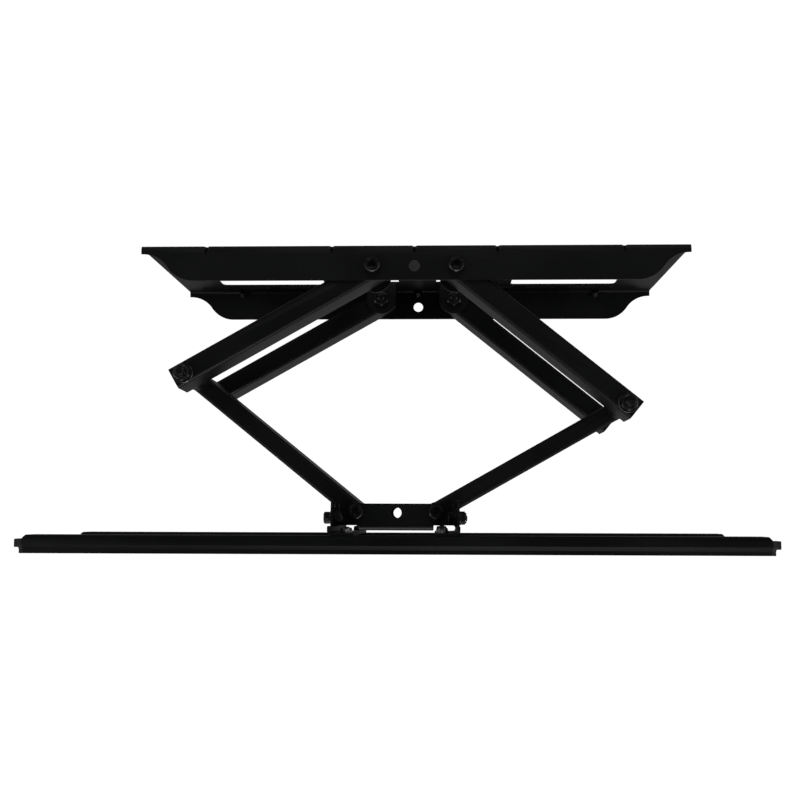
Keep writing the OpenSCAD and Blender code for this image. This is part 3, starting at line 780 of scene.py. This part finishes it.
def seats_along_x(boxes, inset, turn):
    """Seats in boxes that lie along X, this far in from their left ends."""
    return [((low.x + inset, (low.y + high.y) / 2, (low.z + high.z) / 2), turn) for low, high in boxes]


tilt_boxes = boxes_of("tilt_bolts")
tilt_long = tilt_boxes[0][1].x - tilt_boxes[0][0].x - M6_HEAD_H
tilt_shape = cap_screw("tilt_screw_shape", M6_SHANK, M6_HEAD - RIB_OUT, M6_HEAD_H, tilt_long, M6_SOCKET,
                       M6_SOCKET_DEEP, M6_LEAD)
fastener_set("tilt_screws", tilt_shape, seats_along_x(tilt_boxes, M6_HEAD_H, TOWARDS_LEFT), "head",
             screw_zinc, "tilt_bolts", "black_zinc",
             **thread(M6_SHANK, M6_TURNS, M6_PITCH, M6_LEAD - tilt_long),
             **knurl(ribs=36, rib_r=0.0004, rib_h=0.0040, head_r=M6_HEAD, middle=0.0028))
fastener_set("tilt_lock_nuts", lock_nut("tilt_nut_shape", M6_FLATS, M6_NUT_H, M6_BORE),
             seats_along_x(boxes_of("tilt_nuts"), 0, TOWARDS_RIGHT), "head", nut_zinc, "tilt_nuts",
             "black_zinc")
tilt_rings = boxes_of("tilt_washers")
ring_thick = tilt_rings[0][1].x - tilt_rings[0][0].x
fastener_set("tilt_flat_washers", flat_ring("tilt_washer_shape", M6_WASHER_R, M6_BORE, ring_thick),
             seats_along_x(tilt_rings, 0, TOWARDS_RIGHT), "head", nut_zinc, "tilt_washers", "black_zinc")


# Uprights. Two strips of sheet behind the rails, folded and powder coated. Each has two ears folded
# back, of which the upper one has the arc slot, and its outer edge is folded back above, between
# and below the ears.

upright_coat = powder_coat("black_coat_on_uprights", COAT_DARK, COAT_PALE, grain=ALONG_Z, gloss=0.38,
                           peel=0.3)
UPRIGHT_SHEET = 0.002
FLANGE_DEEP = 0.0078
RIM = 0.0005
FOLD_STEPS = 6
EAR_LOW = 0.0375
EAR_HIGH = 0.060
UPRIGHT_END = 0.092


def folded_flange(name, outer_x, towards, front_y, spans):
    """Lengths of a strip's folded edge: the fold and a short leg, with the leg's rim rounded off."""
    inner_r = UPRIGHT_SHEET
    outer_r = 2 * UPRIGHT_SHEET
    path = []
    for step in range(FOLD_STEPS + 1):
        turn = math.pi / 2 * step / FOLD_STEPS
        path.append((outer_r - outer_r * math.sin(turn), outer_r - outer_r * math.cos(turn)))
    path += [(0, FLANGE_DEEP - RIM), (RIM, FLANGE_DEEP), (UPRIGHT_SHEET - RIM, FLANGE_DEEP)]
    path += [(UPRIGHT_SHEET, FLANGE_DEEP - RIM)]
    for step in range(FOLD_STEPS + 1):
        turn = math.pi / 2 * (1 - step / FOLD_STEPS)
        path.append((outer_r - inner_r * math.sin(turn), outer_r - inner_r * math.cos(turn)))
    shape = bmesh.new()
    for low, high in spans:
        ends = []
        for height in (low, high):
            ends.append([shape.verts.new((outer_x - towards * x, front_y + y, height)) for x, y in path])
        closed_between(shape, *ends)
    mesh = mesh_of(name, shape)
    mesh.materials.append(upright_coat)
    smoothed(mesh)
    piece = in_scene(name, mesh)
    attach(piece, "screen_frame")


for side, towards in (("left", -1), ("right", 1)):
    softened(side + "_folded_upright", side + "_upright", "screen_frame", upright_coat,
             COAT_EDGE)
    low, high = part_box(side + "_upright")
    outer = high.x if towards > 0 else low.x
    folded_flange(side + "_upright_flange", outer, towards, low.y,
                  [(-UPRIGHT_END, -EAR_HIGH), (-EAR_LOW, EAR_LOW), (EAR_HIGH, UPRIGHT_END)])


# Rails. Roll-formed channels of thin sheet, open at the front, 618 mm long, with corners sheared off
# at the back of their ends, and powder coated. The scuffs of the coat run along them.

SHEAR_DEEP = 0.0035
SHEAR_LONG = 0.007
STEEP_LONG = 0.0028


def steep_corners(shape):
    """Makes the sheared corners at the back of a rail's ends steeper, as long as STEEP_LONG."""
    back = max(vertex.co.y for vertex in shape.verts)
    middle = (min(v.co.x for v in shape.verts) + max(v.co.x for v in shape.verts)) / 2
    half = max(v.co.x for v in shape.verts) - middle
    for vertex in shape.verts:
        side = 1 if vertex.co.x > middle else -1
        depth = back - vertex.co.y
        inward = half - side * (vertex.co.x - middle)
        sheared = SHEAR_LONG * (1 - depth / SHEAR_DEEP)
        if depth < SHEAR_DEEP + 0.0001 and abs(inward - sheared) < 0.0003:
            vertex.co.x = middle + side * (half - STEEP_LONG * (1 - depth / SHEAR_DEEP))


RAIL_PALE = (0.0034, 0.0039, 0.0038, 1.0)
rail_coat = powder_coat("black_coat_on_rails", COAT_DARK, RAIL_PALE, grain=(0.06, 1, 1), gloss=0.40,
                        peel=0.3, sheen=0.13)
for tier in ("upper", "lower"):
    softened(tier + "_formed_rail", tier + "_rail", "screen_frame", rail_coat, COAT_EDGE,
             shaped=steep_corners)


# End caps. Pushed into the rails and moulded in black plastic, with a flange and a block that
# stands out of it; every edge has the small radius that a mould leaves.

CAP_EDGE = 0.0005
cap_nylon = nylon("black_moulded_caps", tone=0.007)
for tier in ("upper", "lower"):
    softened(tier + "_moulded_caps", tier + "_rail_caps", "screen_frame", cap_nylon, CAP_EDGE)


# Rail screws. Four low-headed screws of 6 mm, two through the web of each rail from inside, which
# hold the rails to the uprights, with lock nuts behind. All are plated in black zinc.

RAIL_HEAD_H = 0.003
RAIL_HEAD_R = 0.0051
RAIL_SOCKET = 0.0020
RAIL_SHANK_PLAIN = 0.0055
HEAD_FORWARD = (math.pi / 2, 0.0, 0.0)
HEAD_BACK = (-math.pi / 2, 0.0, 0.0)
rail_boxes = boxes_of("rail_bolts")
rail_long = rail_boxes[0][1].y - rail_boxes[0][0].y
rail_tip = RAIL_HEAD_H - rail_long
rail_screw_shape = turned_piece("rail_screw_shape", [
    (0, rail_tip, "round"),
    (M6_SHANK - 0.0009, rail_tip, "round"),
    (M6_SHANK - THREAD_DEEP, rail_tip + 0.0005, "round"),
    (M6_SHANK - THREAD_DEEP, -0.004, "round"),
    (M6_SHANK, -0.003, "round"),
    (M6_SHANK, 0, "round"),
    (RAIL_HEAD_R, 0, "round"),
    (RAIL_HEAD_R, 0.0008, "round"),
    (RAIL_HEAD_R * 0.9, 0.0020, "round"),
    (RAIL_HEAD_R * 0.66, RAIL_HEAD_H, "round"),
    (0.0024, RAIL_HEAD_H, "round"),
    (RAIL_SOCKET, RAIL_HEAD_H - 0.0003, "socket"),
    (RAIL_SOCKET, RAIL_HEAD_H - 0.0020, "socket"),
    (0, RAIL_HEAD_H - 0.0024, "round"),
])


def seats_along_y(boxes, inset, turn):
    """Seats in boxes that lie along Y, this far behind their front ends."""
    return [(((low.x + high.x) / 2, low.y + inset, (low.z + high.z) / 2), turn) for low, high in boxes]


rail_turns = (rail_long - RAIL_HEAD_H - RAIL_SHANK_PLAIN) / M6_PITCH
fastener_set("rail_screws", rail_screw_shape, seats_along_y(rail_boxes, RAIL_HEAD_H, HEAD_FORWARD),
             "screen_frame", screw_zinc, "rail_bolts", "black_zinc",
             **thread(M6_SHANK, rail_turns, M6_PITCH, rail_tip + THREAD_LEAD))
fastener_set("rail_lock_nuts", lock_nut("rail_nut_shape", M6_FLATS, M6_NUT_H, M6_BORE),
             seats_along_y(boxes_of("rail_nuts"), 0, HEAD_BACK), "screen_frame", nut_zinc, "rail_nuts",
             "black_zinc")


# Floor. A plain pale sheet below the mount, which hangs above it as it would on its wall. It keeps
# the mount's soft shadow, shows white to the camera, and is dim where the black coat mirrors it.

FLOOR_SIDE = 40.0
FLOOR_DROP = 0.42
FLOOR_TONE = 0.20
FLOOR_SHOWN = 0.86
FLOOR_MIRRORED = 0.02
WHITE = (1, 1, 1, 1)
bpy.ops.mesh.primitive_plane_add(size=FLOOR_SIDE, location=(0, 0, cad_low.z - FLOOR_DROP))
floor = bpy.context.object
floor.name = "pale_floor"
floor_paint = bpy.data.materials.new("pale_floor_paint")
floor_paint.use_nodes = True
floor_paint.node_tree.nodes.clear()
paint = Wire(floor_paint.node_tree)
seen = paint.add("ShaderNodeLightPath", out="Is Camera Ray")
mirrored = paint.add("ShaderNodeLightPath", out="Is Glossy Ray")
through = paint.add("ShaderNodeLightPath", out="Is Transmission Ray")
shown = FLOOR_SHOWN * seen + FLOOR_MIRRORED * mirrored + FLOOR_SHOWN * through
lit = paint.add("ShaderNodeBsdfDiffuse", {}, {"Color": (FLOOR_TONE, FLOOR_TONE, FLOOR_TONE, 1)})
glow = paint.add("ShaderNodeEmission", {}, {"Color": WHITE, "Strength": shown})
both = paint.add("ShaderNodeAddShader", {}, {0: lit, 1: glow})
paint.into("ShaderNodeOutputMaterial", {"Surface": both})
floor.data.materials.append(floor_paint)


# Light and air. The camera sees a white surround. The coat mirrors a room with a dark ceiling and a
# white horizon, dimmer towards the back, and a grey air lights it, with a broad soft lamp in front,
# one on each side and a faint one behind.

world = bpy.data.worlds.new("studio")
bpy.context.scene.world = world
world.use_nodes = True
world.node_tree.nodes.clear()
air = Wire(world.node_tree)
direct = air.add("ShaderNodeLightPath", out="Is Camera Ray")
glossy = air.add("ShaderNodeLightPath", out="Is Glossy Ray")
through = air.add("ShaderNodeLightPath", out="Is Transmission Ray")
AMBIENT = 0.60
CEILING = 0.03
HORIZON = 1.0
BACK_DIMMED = 0.7
heading = air.add("ShaderNodeTexCoord", out="Generated")
upward = air.add("ShaderNodeSeparateXYZ", {}, {0: heading}, out="Z")
backward = air.add("ShaderNodeSeparateXYZ", {}, {0: heading}, out="Y")
low_air = (1 - upward.between(0.10, 0.62)) * (1 - BACK_DIMMED * backward.between(-0.1, 0.5))
mirrored_air = CEILING + (HORIZON - CEILING) * low_air
strength = AMBIENT + (1 - AMBIENT) * (direct + through) + (mirrored_air - AMBIENT) * glossy
sky = air.add("ShaderNodeBackground", {}, {"Color": WHITE, "Strength": strength})
air.into("ShaderNodeOutputWorld", {"Surface": sky})

AIM = Vector((0, -0.13, 0))
for name, place, size, power in (
    ("front_lamp", (0.1, -1.9, 0.75), 1.2, 14.0),
    ("left_lamp", (-1.6, -0.6, 1.2), 1.0, 7.0),
    ("right_lamp", (1.6, -0.4, 1.2), 1.0, 7.0),
    ("back_lamp", (0.0, 1.2, 1.5), 1.0, 2.0),
):
    lamp = bpy.data.lights.new(name, "AREA")
    lamp.size = size
    lamp.energy = power
    holder = in_scene(name, lamp)
    holder.location = place
    holder.rotation_euler = (AIM - Vector(place)).to_track_quat("-Z", "Y").to_euler()


# Camera. It looks down from a little over a metre above the mount's middle height, nearly over the
# head, and leans a few degrees.

CAMERA_PLACE = (0.02005, -0.22528, 1.07289)
LEAN_X = -5.557
LEAN_Y = -1.859
ROLL = 0.017
FOCAL_PIXELS = 1184.4
PICTURE_PIXELS = 800.0
SENSOR = 36.0
lens = bpy.data.cameras.new("camera")
lens.sensor_width = SENSOR
lens.lens = SENSOR * FOCAL_PIXELS / PICTURE_PIXELS
camera = in_scene("camera", lens)
to_view = (Matrix.Rotation(math.radians(ROLL), 3, "Z")
           @ Matrix.Rotation(math.radians(LEAN_Y), 3, "Y")
           @ Matrix.Rotation(math.radians(LEAN_X), 3, "X"))
camera.matrix_world = Matrix.Translation(CAMERA_PLACE) @ to_view.transposed().to_4x4()
bpy.context.scene.camera = camera
bpy.context.scene.view_settings.view_transform = "Standard"
